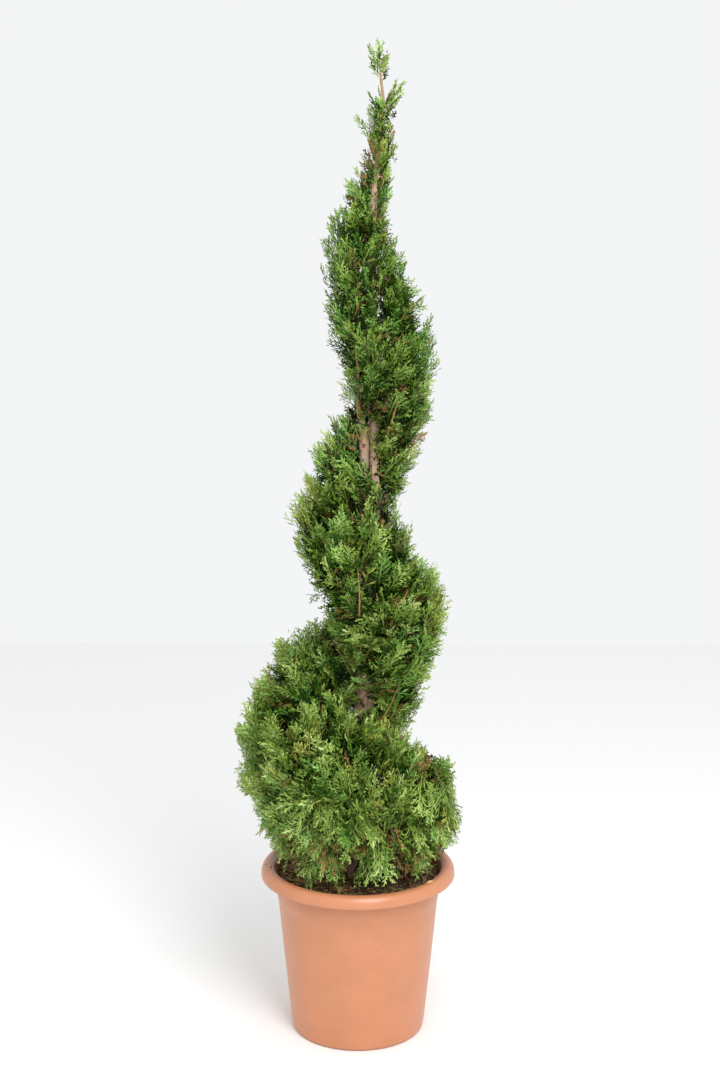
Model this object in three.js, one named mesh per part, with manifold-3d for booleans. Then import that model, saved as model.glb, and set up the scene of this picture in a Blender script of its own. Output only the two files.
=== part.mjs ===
// A spiral topiary: a slim evergreen conifer, clipped to a cone with one winding groove cut in to
// its trunk, growing in a round plastic container pot.
// Millimetres, +Z up, -Y is the front. The origin is the centre of the pot's flat underside.
import * as THREE from "three";
import { mergeVertices } from "three/addons/utils/BufferGeometryUtils.js";
import Module from "manifold-3d";

const wasm = await Module();
wasm.setup();

// ---- Driving dimensions ----

const GAP = 0.3; // between pieces that touch

const POT_HEIGHT = 340;
const POT_FOOT_RADIUS = 130;
const POT_MOUTH_RADIUS = 163.5; // outside of the wall, where it meets the rim
const POT_WALL = 3;
const POT_FLOOR = 4;
const POT_FOOT_BEND = 8; // the rounded corner under the wall
const POT_SHOULDER_HEIGHT = 270; // a faint step runs round the wall here
const POT_SHOULDER_STEP = 1.2;
const RIM_RADIUS = 190; // outside of the turned-down rim
const RIM_CROWN = 18; // how far the rim's arch rises over its lip
const RIM_LIP = 5; // the short straight lip below the arch
const POT_SIDES = 48;
const DRAIN_HOLES = 8;
const DRAIN_HOLE_RADIUS = 7;
const DRAIN_CIRCLE_RADIUS = 92;

const SOIL_EDGE_HEIGHT = 313;
const SOIL_TOP_HEIGHT = 322; // the flat middle that the trunk stands on
const SOIL_FLAT_RADIUS = 60;

// The trunk's line, from the soil to its tip: it leans a little to the right.
const TRUNK_LINE = [
  [0, 0, SOIL_TOP_HEIGHT + GAP],
  [9, 4, 540],
  [18, 2, 800],
  [30, -3, 1060],
  [29, 2, 1300],
  [28, 0, 1600],
  [46, -2, 1800],
  [40, 0, 1852],
];
// The trunk's radius at a height. It is thick up to the fork, and slim above it.
const TRUNK_TAPER = [
  [SOIL_TOP_HEIGHT, 31],
  [345, 24.5],
  [680, 19.5],
  [980, 15.5],
  [1060, 10],
  [1300, 8.6],
  [1620, 6.6],
  [1800, 2.8],
  [1852, 1.6],
];
const TRUNK_SIDES = 12;
const TRUNK_RINGS = 30;
const RIB_DEPTH = 0.04; // three faint ribs run up the trunk, as a share of its radius
const FLARE_RIB_DEPTH = 0.1; // they deepen by this much in the root flare
const FLARE_HEIGHT = 130;

// The second leader parts from the trunk at the fork and ends where it enters the crown's left side.
const LEADER_LINE = [
  [22, 0, 985],
  [12, -7, 1050],
  [12, -8, 1130],
  [11, -7, 1190],
  [4, -6, 1228],
];
const LEADER_RADIUS = [10, 6];
const LEADER_ROOM = 4; // between it and the foliage

// The groove climbs clockwise, seen from above. Its height is given at each half turn, from the
// left side at the soil (turn -0.5), by way of the right side (turn 0), to the tip.
const GROOVE_START_TURN = -0.5;
const FOLIAGE_FOOT = 328;
const GROOVE_HEIGHTS = [FOLIAGE_FOOT, 585, 795, 1060, 1262, 1582, 1716, 1785, 1818];

// The ribbon of foliage lies between one turn of the groove and the next. Its outer radius from
// the trunk is given at each quarter turn, from turn -1.5 (the left side) on.
const RIBBON_START_TURN = -1.5;
const RIBBON_RADII = [
  168, 178, 186, 210, 240, 190, 146, 142, 145, 118, 114, 100, 90, 52, 30, 28, 24,
];
const RIBBON_ENDS = [-1.3, 2.7]; // the turns where the ribbon starts and stops
const MASS_TURN = 0.25; // how much of a turn each mass of foliage covers
const SPLIT_HEIGHT = 545; // a standing mass that reaches far above this is split here in two
const SPLIT_LEAST = 130; // the least height of the upper one
const CORE_SHARE = 0.24; // the bare, shaded core round the trunk, as a share of the ribbon's radius
const CORE_LEAST = 5; // and its width in the groove
const GROOVE_SKIN = 5; // the ribbon's thickness in the groove
// The ribbon's face is a wave: full where its power is low, slack where it is high, by half turns.
const WAVE_FOOT_POWERS = [0.85, 0.5, 0.95, 0.65, 0.85, 0.85, 0.85, 0.85];
const WAVE_TOP_POWERS = [1.5, 2.1, 1.5, 1.55, 1, 1.4, 1.5, 1.5];
const FOOT_SPREAD = 168; // the radius of the standing foliage just above the rim
const FOOT_CLIMB = 2.8; // how steeply it widens from there
const SHOULDER_ROUND = 5; // how square the standing foliage's shoulder is
const LUMP_SHARE = 0.055; // how uneven the clipped surface is
const MASS_BULGE = 0.05; // each mass swells in its middle
const MASS_SECTIONS = 6;
const OUTLINE_POINTS = 9;
const TURN_GAP = 0.002; // between neighbouring masses, in turns
const GROOVE_MARGIN = 0.05; // the groove's own share of the ribbon's height, at each side of it
const SPLIT_GAP = 2; // between a lower and an upper mass
const FOOT_RADIUS = 142; // where the lowest foliage stands inside the pot's rim
const FOOT_RISE = 24; // it spreads over the rim above this

const BOUGH_SIDES = 7;
const BOUGH_RINGS = 5;
const BOUGH_RADIUS_SHARE = 0.42; // a bough's thickness at the trunk, against the trunk's own
const BOUGH_TAPER = 0.62; // its thickness where it enters its mass, against that at the trunk
const BOUGH_RISE = 1.25; // how steeply a bough climbs
const BOUGH_CLEARANCE = 4; // between its end and its mass
const BOUGH_START = 0.24; // where on its mass's height a bough leaves the trunk

// Two loose tufts at the top: one on a side shoot, and one on the trunk's own tip.
const SIDE_TUFT_LINE = [
  [58, -4, 1792],
  [93, -8, 1846],
];
const SIDE_TUFT_RADIUS = 12.5;
const TIP_TUFT_LINE = [
  [40, 0, 1853],
  [39, 0, 1918],
];
const TIP_TUFT_RADIUS = 18.5;

const COLOURS = {
  pot: 0xdf916d,
  soil: 0x3a2a20,
  bark: 0x8a6a52,
  foliage: 0x4f7030,
};

// ---- Small tools ----

const { lerp, clamp, smoothstep } = THREE.MathUtils;
const finish = (color, roughness) => new THREE.MeshStandardMaterial({ color, roughness, metalness: 0 });

/** The value at x of a smooth line through evenly spaced values that start at x0. */
function along(values, x0, step, x) {
  const place = clamp((x - x0) / step, 0, values.length - 1);
  const i = Math.min(Math.floor(place), values.length - 2);
  const f = place - i;
  const slope = (k) => (values[Math.min(k + 1, values.length - 1)] - values[Math.max(k - 1, 0)]) / 2;
  const h = (3 - 2 * f) * f * f;
  const easeOut = f * (1 - f) * (1 - f);
  const easeIn = f * f * (f - 1);
  return lerp(values[i], values[i + 1], h) + easeOut * slope(i) + easeIn * slope(i + 1);
}

/** The value at x of a straight-sided line through [x, value] pairs. */
function taper(pairs, x) {
  const k = pairs.findIndex(([at]) => at >= x);
  if (k < 0) return pairs.at(-1)[1];
  if (k === 0) return pairs[0][1];
  const [[x0, v0], [x1, v1]] = [pairs[k - 1], pairs[k]];
  return lerp(v0, v1, (x - x0) / (x1 - x0));
}

/** The flat cap of a ring: triangles of its points' numbers, turning as the ring does. */
function capOf(ring) {
  const normal = new THREE.Vector3();
  const [across, up, edge] = [new THREE.Vector3(), new THREE.Vector3(), new THREE.Vector3()];
  ring.forEach((p, i) => normal.add(edge.crossVectors(p, ring[(i + 1) % ring.length])));
  normal.normalize();
  across.subVectors(ring[1], ring[0]).projectOnPlane(normal).normalize();
  up.crossVectors(normal, across);
  return THREE.ShapeUtils.triangulateShape(
    ring.map((p) => new THREE.Vector2(p.dot(across), p.dot(up))),
    [],
  );
}

/** A closed solid through rings of equal point count, each turning left as seen from the next. */
function loft(rings) {
  const count = rings[0].length;
  const faces = [];
  for (let k = 0; k < rings.length - 1; k++)
    for (let i = 0; i < count; i++) {
      const [a, b] = [k * count + i, k * count + ((i + 1) % count)];
      faces.push(a, b, b + count, a, b + count, a + count);
    }
  const top = (rings.length - 1) * count;
  for (const [a, b, c] of capOf(rings[0])) faces.push(c, b, a);
  for (const [a, b, c] of capOf(rings.at(-1))) faces.push(top + a, top + b, top + c);
  return new THREE.BufferGeometry().setFromPoints(rings.flat()).setIndex(faces);
}

/** A limb along a curve, its radius a function of how far along it is, of the side and of the place. */
function limb(curve, radiusAt, sides, rings, levelFoot = false) {
  const loops = [];
  for (let k = 0; k <= rings; k++) {
    const share = k / rings;
    const centre = curve.getPointAt(share);
    const ahead = levelFoot && k === 0 ? new THREE.Vector3(0, 0, 1) : curve.getTangentAt(share);
    const across = new THREE.Vector3(1, 0, 0).addScaledVector(ahead, -ahead.x).normalize();
    const beside = new THREE.Vector3().crossVectors(ahead, across);
    loops.push(
      Array.from({ length: sides }, (_, i) => {
        const angle = (i / sides) * 2 * Math.PI;
        const radius = radiusAt(share, angle, centre);
        return centre
          .clone()
          .addScaledVector(across, radius * Math.cos(angle))
          .addScaledVector(beside, radius * Math.sin(angle));
      }),
    );
  }
  return loft(loops);
}

const curveThrough = (points) => new THREE.CatmullRomCurve3(points.map((p) => new THREE.Vector3(...p)));

/** A function that gives a rising curve's point at a height. */
function centreOf(curve) {
  const steps = curve.getSpacedPoints(200);
  return (height) => {
    const found = steps.findIndex((p) => p.z >= height);
    const above = found < 0 ? steps.length - 1 : Math.max(found, 1);
    const [a, b] = [steps[above - 1], steps[above]];
    return a.clone().lerp(b, clamp((height - a.z) / (b.z - a.z), 0, 1));
  };
}

function solidOf(geometry) {
  const bare = new THREE.BufferGeometry().setAttribute("position", geometry.getAttribute("position"));
  bare.setIndex(geometry.index);
  const merged = mergeVertices(bare, 1e-3);
  return new wasm.Manifold(
    new wasm.Mesh({
      numProp: 3,
      vertProperties: new Float32Array(merged.getAttribute("position").array),
      triVerts: new Uint32Array(merged.index.array),
    }),
  );
}

function geometryOf(solid) {
  const { vertProperties, triVerts } = solid.getMesh();
  return new THREE.BufferGeometry()
    .setAttribute("position", new THREE.BufferAttribute(vertProperties, 3))
    .setIndex(new THREE.BufferAttribute(triVerts, 1));
}

const topiary = new THREE.Group();

function addPiece(name, geometry, material) {
  geometry.computeVertexNormals();
  const piece = new THREE.Mesh(geometry, material);
  piece.name = name;
  topiary.add(piece);
}

// ---- The pot and its soil ----

const wallRadius = (height) => lerp(POT_FOOT_RADIUS, POT_MOUTH_RADIUS, height / (POT_HEIGHT - RIM_CROWN));

/** A lathed solid round the Z axis, from a profile of [radius, height] points, axis to axis. */
function lathed(profile) {
  const points = profile.map(([radius, height]) => new THREE.Vector2(radius, height));
  return new THREE.LatheGeometry(points, POT_SIDES).rotateX(Math.PI / 2);
}

/** Points of an elliptical arc, between two angles in degrees. */
function arc(centre, radii, from, to, steps) {
  return Array.from({ length: steps + 1 }, (_, i) => {
    const angle = THREE.MathUtils.degToRad(lerp(from, to, i / steps));
    return [centre[0] + radii[0] * Math.cos(angle), centre[1] + radii[1] * Math.sin(angle)];
  });
}

function makePot() {
  const archBase = POT_HEIGHT - RIM_CROWN;
  const innerEdge = POT_MOUTH_RADIUS - POT_WALL;
  const archCentre = [(RIM_RADIUS + innerEdge) / 2, archBase];
  const archWidth = (RIM_RADIUS - innerEdge) / 2;
  const bendCentre = [POT_FOOT_RADIUS - POT_FOOT_BEND, POT_FOOT_BEND];
  const profile = [
    [0, 0],
    ...arc(bendCentre, [POT_FOOT_BEND, POT_FOOT_BEND], -90, 0, 3),
    [wallRadius(POT_SHOULDER_HEIGHT) - POT_SHOULDER_STEP, POT_SHOULDER_HEIGHT],
    [wallRadius(POT_SHOULDER_HEIGHT), POT_SHOULDER_HEIGHT + 2 * POT_SHOULDER_STEP],
    ...arc(archCentre, [archWidth - POT_WALL, RIM_CROWN - POT_WALL], 160, 0, 4),
    [RIM_RADIUS - POT_WALL, archBase - RIM_LIP],
    [RIM_RADIUS, archBase - RIM_LIP],
    ...arc(archCentre, [archWidth, RIM_CROWN], 0, 180, 7),
    [wallRadius(POT_FOOT_BEND) - POT_WALL, POT_FOOT_BEND],
    [POT_FOOT_RADIUS - POT_FOOT_BEND, POT_FLOOR],
    [0, POT_FLOOR],
  ];
  let pot = solidOf(lathed(profile));
  for (let i = 0; i < DRAIN_HOLES; i++) {
    const angle = (i / DRAIN_HOLES) * 2 * Math.PI;
    const plug = new THREE.CylinderGeometry(DRAIN_HOLE_RADIUS, DRAIN_HOLE_RADIUS, 4 * POT_FLOOR, 12);
    plug.rotateX(Math.PI / 2);
    plug.translate(DRAIN_CIRCLE_RADIUS * Math.cos(angle), DRAIN_CIRCLE_RADIUS * Math.sin(angle), 0);
    pot = pot.subtract(solidOf(plug));
  }
  return geometryOf(pot);
}

function makeSoil() {
  const insideWall = (height) => wallRadius(height) - POT_WALL - 2 * GAP;
  return lathed([
    [0, POT_FLOOR + GAP],
    [POT_FOOT_RADIUS - POT_FOOT_BEND - 2 * GAP, POT_FLOOR + GAP],
    [insideWall(POT_FOOT_BEND) - GAP, POT_FOOT_BEND + GAP],
    [insideWall(SOIL_EDGE_HEIGHT) - GAP, SOIL_EDGE_HEIGHT],
    [SOIL_FLAT_RADIUS, SOIL_TOP_HEIGHT],
    [0, SOIL_TOP_HEIGHT],
  ]);
}

// ---- The trunk and the second leader ----

const trunkCurve = curveThrough(TRUNK_LINE);
const trunkAt = centreOf(trunkCurve);

const trunkRadius = (height) => taper(TRUNK_TAPER, height);

/** The trunk, with faint ribs that widen into its root flare; grown makes it a little thicker. */
function makeTrunk(grown = 0) {
  const rib = (angle, centre) => {
    const flare = 1 - smoothstep(centre.z, SOIL_TOP_HEIGHT, SOIL_TOP_HEIGHT + FLARE_HEIGHT);
    return 1 + (RIB_DEPTH + FLARE_RIB_DEPTH * flare) * Math.sin(3 * angle + centre.z / 170);
  };
  const radiusAt = (share, angle, centre) => trunkRadius(centre.z) * rib(angle, centre) + grown;
  return limb(trunkCurve, radiusAt, TRUNK_SIDES, TRUNK_RINGS, true);
}

const trunkRoom = solidOf(makeTrunk(GAP));

const leaderCurve = curveThrough(LEADER_LINE);
const leaderAt = centreOf(leaderCurve);

function makeLeader(grown = 0) {
  const leader = solidOf(limb(leaderCurve, (share) => lerp(...LEADER_RADIUS, share) + grown, 9, 10));
  return leader.subtract(trunkRoom);
}

const leaderRoom = makeLeader(GAP);

// ---- The ribbon of foliage ----

const grooveHeight = (turn) => along(GROOVE_HEIGHTS, GROOVE_START_TURN, 0.5, turn);
const ribbonRadius = (turn) => along(RIBBON_RADII, RIBBON_START_TURN, 0.25, turn);
const azimuthOf = (turn) => -2 * Math.PI * turn;

/** How far the ribbon still stands on the soil: 1 on the ground turn, 0 once the groove is below it. */
const standing = (turn) => 1 - smoothstep(turn, GROOVE_START_TURN, GROOVE_START_TURN + 0.3);

/** Smooth unevenness from -1 to 1 over the clipped surface. */
function lumps(azimuth, height) {
  return (
    0.5 * Math.sin(3 * azimuth + height / 43) +
    0.3 * Math.sin(5 * azimuth - height / 29 + 2) +
    0.2 * Math.sin(8 * azimuth + height / 17 + 4)
  );
}

/** The radius of the bare core: closest to the trunk in the grooves, widest half way between them. */
function coreRadius(turn, height) {
  const share = clamp((height - grooveHeight(turn)) / (grooveHeight(turn + 1) - grooveHeight(turn)), 0, 1);
  const tent = 1 - Math.abs(2 * share - 1);
  const core = trunkRadius(height) + CORE_LEAST + CORE_SHARE * ribbonRadius(turn) * tent;
  if (height < LEADER_LINE[0][2] || height > LEADER_LINE.at(-1)[2] + 4 * LEADER_ROOM) return core;
  const leader = leaderAt(height).sub(trunkAt(height));
  const azimuth = azimuthOf(turn);
  const leaderReach = leader.x * Math.cos(azimuth) + leader.y * Math.sin(azimuth) + LEADER_RADIUS[0];
  return Math.max(core, leaderReach + LEADER_ROOM);
}

/** The place at a radius from the trunk's centre, at a turn of the spiral and a height. */
function placeAt(turn, radius, height) {
  const azimuth = azimuthOf(turn);
  const outward = new THREE.Vector3(Math.cos(azimuth), Math.sin(azimuth), 0);
  const centre = trunkAt(height);
  centre.z = height;
  return centre.addScaledVector(outward, radius);
}

/**
 * The outline of the ribbon's section at a turn, no lower and no higher than two heights: out of the
 * groove below, round the clipped face, into the groove above, and down the bare core.
 */
function ribbonSection(turn, lowest, highest, bulge) {
  const foot = standing(turn);
  const floor = grooveHeight(turn);
  const roof = grooveHeight(turn + 1);
  const bottom = floor + Math.min(FOOT_RISE, (roof - floor) / 3) * foot;
  const margin = GROOVE_MARGIN * (roof - bottom);
  const footPower = along(WAVE_FOOT_POWERS, GROOVE_START_TURN, 0.5, turn);
  const topPower = along(WAVE_TOP_POWERS, GROOVE_START_TURN, 0.5, turn);
  const innerAt = (height) => coreRadius(turn, height) + GROOVE_SKIN;
  const faceAt = (height) => {
    const share = (height - bottom) / (roof - bottom);
    const inner = innerAt(height);
    const uneven = 1 + LUMP_SHARE * lumps(azimuthOf(turn), height) + MASS_BULGE * bulge;
    const reach = ribbonRadius(turn) * uneven;
    const spread = smoothstep(height - bottom, 0, FOOT_CLIMB * (reach - FOOT_SPREAD));
    const power = lerp(footPower, topPower, share);
    const hung = lerp(inner, reach, Math.sin(Math.PI * share) ** power);
    const stood = lerp(inner, lerp(FOOT_SPREAD, reach, spread), (1 - share ** SHOULDER_ROUND) ** 0.5);
    return placeAt(turn, Math.max(inner, lerp(hung, stood, foot)), height);
  };
  const footHeight = Math.max(floor + margin * (1 - foot), lowest);
  const footRadius = lerp(innerAt(footHeight), FOOT_RADIUS, footHeight > bottom + margin ? 0 : foot);
  const points = [placeAt(turn, footRadius, footHeight)];
  const first = Math.max(bottom + margin, lowest);
  const last = Math.min(roof - margin, highest);
  for (let i = 0; i < OUTLINE_POINTS; i++) points.push(faceAt(lerp(first, last, i / (OUTLINE_POINTS - 1))));
  for (const share of [1, 0.75, 0.5, 0.25, 0]) {
    const height = lerp(footHeight, last, share);
    points.push(placeAt(turn, coreRadius(turn, height), height));
  }
  return points;
}

/** One mass of foliage: the ribbon from one turn to another, between two heights. */
function makeMass(from, to, lowest = -Infinity, highest = Infinity) {
  const sections = [];
  for (let k = 0; k < MASS_SECTIONS; k++) {
    const share = k / (MASS_SECTIONS - 1);
    const turn = lerp(from + TURN_GAP, to - TURN_GAP, share);
    sections.push(ribbonSection(turn, lowest, highest, Math.sin(Math.PI * share) * 2 - 1));
  }
  return loft(sections);
}

/** A short bough from the trunk out to the inner face of its mass. */
function makeBough(turn, height, rise = BOUGH_RISE) {
  const start = trunkAt(height);
  const thick = BOUGH_RADIUS_SHARE * trunkRadius(height) + 1;
  const thin = BOUGH_TAPER * thick;
  let room = trunkRadius(height);
  while (room + 1.5 * thin + BOUGH_CLEARANCE < coreRadius(turn, height + rise * room)) room += 1;
  const end = placeAt(turn, room, start.z + rise * room);
  const bend = placeAt(turn, 0.55 * room, start.z + 0.4 * rise * room);
  const curve = new THREE.CatmullRomCurve3([start, bend, end]);
  const made = limb(curve, (share) => lerp(thick, thin, share), BOUGH_SIDES, BOUGH_RINGS);
  return solidOf(made).subtract(trunkRoom).subtract(leaderRoom);
}

/** A loose tuft of sprays at the end of a shoot, widest past its middle. */
function makeTuft(from, to, width) {
  const curve = curveThrough([from, to]);
  const radiusAt = (share) => lerp(1.5, width, Math.sin(Math.PI * share ** 1.3) ** 0.8);
  return limb(curve, radiusAt, 8, 6);
}

// ---- The whole plant ----

const bark = () => finish(COLOURS.bark, 0.9);
const foliage = () => finish(COLOURS.foliage, 0.8);

addPiece("pot", makePot(), finish(COLOURS.pot, 0.45));
addPiece("soil", makeSoil(), finish(COLOURS.soil, 0.95));
addPiece("trunk", makeTrunk(), bark());
addPiece("second_leader", geometryOf(makeLeader()), bark());

const massCount = Math.round((RIBBON_ENDS[1] - RIBBON_ENDS[0]) / MASS_TURN);
for (let i = 0; i < massCount; i++) {
  const from = RIBBON_ENDS[0] + i * MASS_TURN;
  const middle = from + MASS_TURN / 2;
  const [floor, roof] = [grooveHeight(middle), grooveHeight(middle + 1)];
  const number = String(i + 1).padStart(2, "0");
  const to = from + MASS_TURN;
  if (standing(middle) > 0.5 && roof > SPLIT_HEIGHT + SPLIT_LEAST) {
    addPiece(`mass_${number}_lower`, makeMass(from, to, FOLIAGE_FOOT, SPLIT_HEIGHT), foliage());
    addPiece(`mass_${number}_upper`, makeMass(from, to, SPLIT_HEIGHT + SPLIT_GAP), foliage());
  } else addPiece(`mass_${number}`, makeMass(from, to), foliage());
  addPiece(`bough_${number}`, geometryOf(makeBough(middle, lerp(floor, roof, BOUGH_START))), bark());
}
addPiece("side_tuft", makeTuft(...SIDE_TUFT_LINE, SIDE_TUFT_RADIUS), foliage());
addPiece("tip_tuft", makeTuft(...TIP_TUFT_LINE, TIP_TUFT_RADIUS), foliage());

export default topiary;
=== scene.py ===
"""A spiral topiary in its pot: an evergreen conifer, clipped to a cone with one winding groove.

Lengths are in metres. A tapering limb has its radius at its foot first, then at its tip.
"""

import bmesh
import bpy
import numpy as np
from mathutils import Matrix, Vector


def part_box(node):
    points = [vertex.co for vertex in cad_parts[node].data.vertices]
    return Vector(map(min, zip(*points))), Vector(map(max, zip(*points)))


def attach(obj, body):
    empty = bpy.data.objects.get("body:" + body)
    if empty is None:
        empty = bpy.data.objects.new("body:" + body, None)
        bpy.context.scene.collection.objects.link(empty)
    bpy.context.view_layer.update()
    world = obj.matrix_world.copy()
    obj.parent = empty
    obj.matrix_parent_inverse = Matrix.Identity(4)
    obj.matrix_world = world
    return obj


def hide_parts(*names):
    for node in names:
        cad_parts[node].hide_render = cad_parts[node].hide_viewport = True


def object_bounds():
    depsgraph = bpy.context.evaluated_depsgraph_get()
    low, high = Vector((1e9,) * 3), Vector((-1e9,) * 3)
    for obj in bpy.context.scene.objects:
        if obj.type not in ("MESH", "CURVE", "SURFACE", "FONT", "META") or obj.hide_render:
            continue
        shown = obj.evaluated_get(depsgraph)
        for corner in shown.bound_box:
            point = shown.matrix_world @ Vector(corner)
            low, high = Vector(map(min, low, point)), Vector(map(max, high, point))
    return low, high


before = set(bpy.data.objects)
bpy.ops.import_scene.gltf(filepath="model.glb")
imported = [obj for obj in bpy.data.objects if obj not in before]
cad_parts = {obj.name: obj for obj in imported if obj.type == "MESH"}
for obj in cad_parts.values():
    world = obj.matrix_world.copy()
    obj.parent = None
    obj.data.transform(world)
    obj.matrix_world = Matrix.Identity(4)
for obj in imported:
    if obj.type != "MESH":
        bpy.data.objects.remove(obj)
cad_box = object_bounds()


# ---- The pot ----
# A round nursery container of polypropylene, coloured like terracotta through and through.
# It is injection moulded in one shot, wall, floor and turned-down rim, with drain holes in the floor.

pot_low, pot_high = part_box("pot")
POT_HEIGHT = pot_high.z - pot_low.z
RIM_RADIUS = pot_high.x
FOOT_RADIUS = 0.130
MOUTH_RADIUS = 0.1635
WALL = 0.003
FLOOR = 0.004
FOOT_BEND = 0.008
RIM_CROWN = 0.018
RIM_LIP = 0.005
LIP_ROUND = 0.0008
SHOULDER_HEIGHT = 0.270
SHOULDER_STEP = 0.0012
DRAIN_HOLES = 8
DRAIN_HOLE_RADIUS = 0.007
DRAIN_CIRCLE = 0.092
POT_SIDES = 160
HOLE_SIDES = 60


def linear(shade):
    """The linear RGBA of an sRGB hex colour: straight below 0.04045, a power of 2.4 above."""
    srgb = np.array([int(shade[i : i + 2], 16) for i in (1, 3, 5)]) / 255
    return (*np.where(srgb <= 0.04045, srgb / 12.92, ((srgb + 0.055) / 1.055) ** 2.4), 1.0)


def new_material(name, **sockets):
    """A material with that name, its node tree and its shader, whose sockets are set to the values given."""
    made = bpy.data.materials.new(name)
    made.use_nodes = True
    shader = made.node_tree.nodes["Principled BSDF"]
    for socket, value in sockets.items():
        shader.inputs[socket.replace("_", " ")].default_value = value
    return made, made.node_tree, shader


def add(tree, kind, settings=None, links=None, out=0):
    """An output of a new node. Settings go to its properties, inputs or ramp, and links feed its inputs."""
    made = tree.nodes.new("ShaderNode" + kind)
    for name, value in (settings or {}).items():
        if name == "stops":
            elements = made.color_ramp.elements
            for place, _ in value[2:]:
                elements.new(place)
            in_order = sorted(elements, key=lambda element: element.position)
            for element, (place, shade) in zip(in_order, sorted(value)):
                element.position = place
                element.color = shade if isinstance(shade, tuple) else linear(shade)
        elif isinstance(name, str) and hasattr(made, name):
            setattr(made, name, value)
        else:
            made.inputs[name].default_value = value
    for name, source in (links or {}).items():
        tree.links.new(source, made.inputs[name])
    return made.outputs[out]


def new_piece(name, points, faces, materials, nodes=(), shades=None, weld=False, smooth=True):
    """A mesh piece from arrays, on the body "root": points in metres and faces of three or four corners each.

    shades deals the materials out by face. weld closes seams and poles, where points of the grid meet.
    """
    mesh = bpy.data.meshes.new(name)
    corners = faces.shape[1]
    mesh.vertices.add(len(points))
    mesh.vertices.foreach_set("co", np.ascontiguousarray(points, np.float32).ravel())
    mesh.loops.add(faces.size)
    mesh.loops.foreach_set("vertex_index", np.ascontiguousarray(faces, np.int32).ravel())
    mesh.polygons.add(len(faces))
    mesh.polygons.foreach_set("loop_start", np.arange(0, faces.size, corners, dtype=np.int32))
    mesh.polygons.foreach_set("loop_total", np.full(len(faces), corners, np.int32))
    for made in materials:
        mesh.materials.append(made)
    if shades is not None:
        mesh.polygons.foreach_set("material_index", np.ascontiguousarray(shades, np.int32))
    mesh.polygons.foreach_set("use_smooth", np.full(len(faces), smooth))
    mesh.update(calc_edges=True)
    if weld:
        loose = bmesh.new()
        loose.from_mesh(mesh)
        bmesh.ops.remove_doubles(loose, verts=loose.verts, dist=2e-6)
        loose.to_mesh(mesh)
        loose.free()
    mesh.validate()
    piece = bpy.data.objects.new(name, mesh)
    bpy.context.scene.collection.objects.link(piece)
    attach(piece, "root")
    if nodes:
        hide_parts(*nodes)


def joined(parts):
    """Several meshes as one: their points end to end, and their faces renumbered to match."""
    points = np.concatenate([made[0] for made in parts])
    starts = np.cumsum([0] + [len(made[0]) for made in parts[:-1]])
    return points, np.concatenate([made[1] + start for made, start in zip(parts, starts)])


def grid_faces(rows, columns):
    """The quads of a grid of points, rows by columns, numbered row by row."""
    corner = np.arange((rows - 1) * columns).reshape(rows - 1, columns)[:, :-1]
    return np.stack([corner, corner + 1, corner + columns + 1, corner + columns], -1).reshape(-1, 4)


def round_points(radius, angle):
    """Points round the Z axis: (radius·cos a, radius·sin a)."""
    return np.stack(np.broadcast_arrays(radius * np.cos(angle), radius * np.sin(angle)), -1)


def turned(profile, sides):
    """A profile of (radius, height) points turned about Z: (radius·cos a, radius·sin a, height)."""
    flat = round_points(profile[:, :1], np.linspace(0, 2 * np.pi, sides + 1))
    return np.column_stack([flat.reshape(-1, 2), np.repeat(profile[:, 1], sides + 1)])


def arc(centre, radii, start, end, steps):
    """Points of an elliptical arc, centre + (a·cos t, b·sin t), from one angle in degrees to another."""
    t = np.radians(np.linspace(start, end, steps + 1))
    return np.stack([centre[0] + radii[0] * np.cos(t), centre[1] + radii[1] * np.sin(t)], -1)


def wall_radius(height):
    """The outside of the wall: a straight cone from the foot to the rim."""
    return FOOT_RADIUS + (MOUTH_RADIUS - FOOT_RADIUS) * height / (POT_HEIGHT - RIM_CROWN)


def pot_profile():
    """The section of the wall and rim: from the floor's edge outside, over the rim, to its edge inside."""
    arch = POT_HEIGHT - RIM_CROWN
    inner = MOUTH_RADIUS - WALL
    centre = ((RIM_RADIUS + inner) / 2, arch)
    width = (RIM_RADIUS - inner) / 2
    lip = arch - RIM_LIP + LIP_ROUND
    heights = np.linspace(FOOT_BEND, SHOULDER_HEIGHT, 24)[1:]
    step = wall_radius(SHOULDER_HEIGHT) - SHOULDER_STEP
    sunk = wall_radius(heights) - SHOULDER_STEP * (heights / SHOULDER_HEIGHT) ** 3
    return np.concatenate([
        arc((FOOT_RADIUS - FOOT_BEND, FOOT_BEND), (FOOT_BEND, FOOT_BEND), -90, 0, 8),
        np.stack([sunk, heights], -1),
        [[step + 0.0003, SHOULDER_HEIGHT + 0.0006], [step + SHOULDER_STEP, SHOULDER_HEIGHT + 0.0024]],
        [[wall_radius(height), height] for height in (0.290, 0.312)],
        arc(centre, (width - WALL, RIM_CROWN - WALL), 165, 0, 18),
        [[RIM_RADIUS - WALL, lip]],
        arc((RIM_RADIUS - WALL / 2, lip), (WALL / 2, LIP_ROUND), 180, 360, 6),
        arc(centre, (width, RIM_CROWN), 0, 180, 30),
        [[inner - 0.0012, 0.305]],
        [[wall_radius(height) - WALL, height] for height in (0.15, FOOT_BEND)],
        [[FOOT_RADIUS - FOOT_BEND, FLOOR]],
    ])


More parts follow.
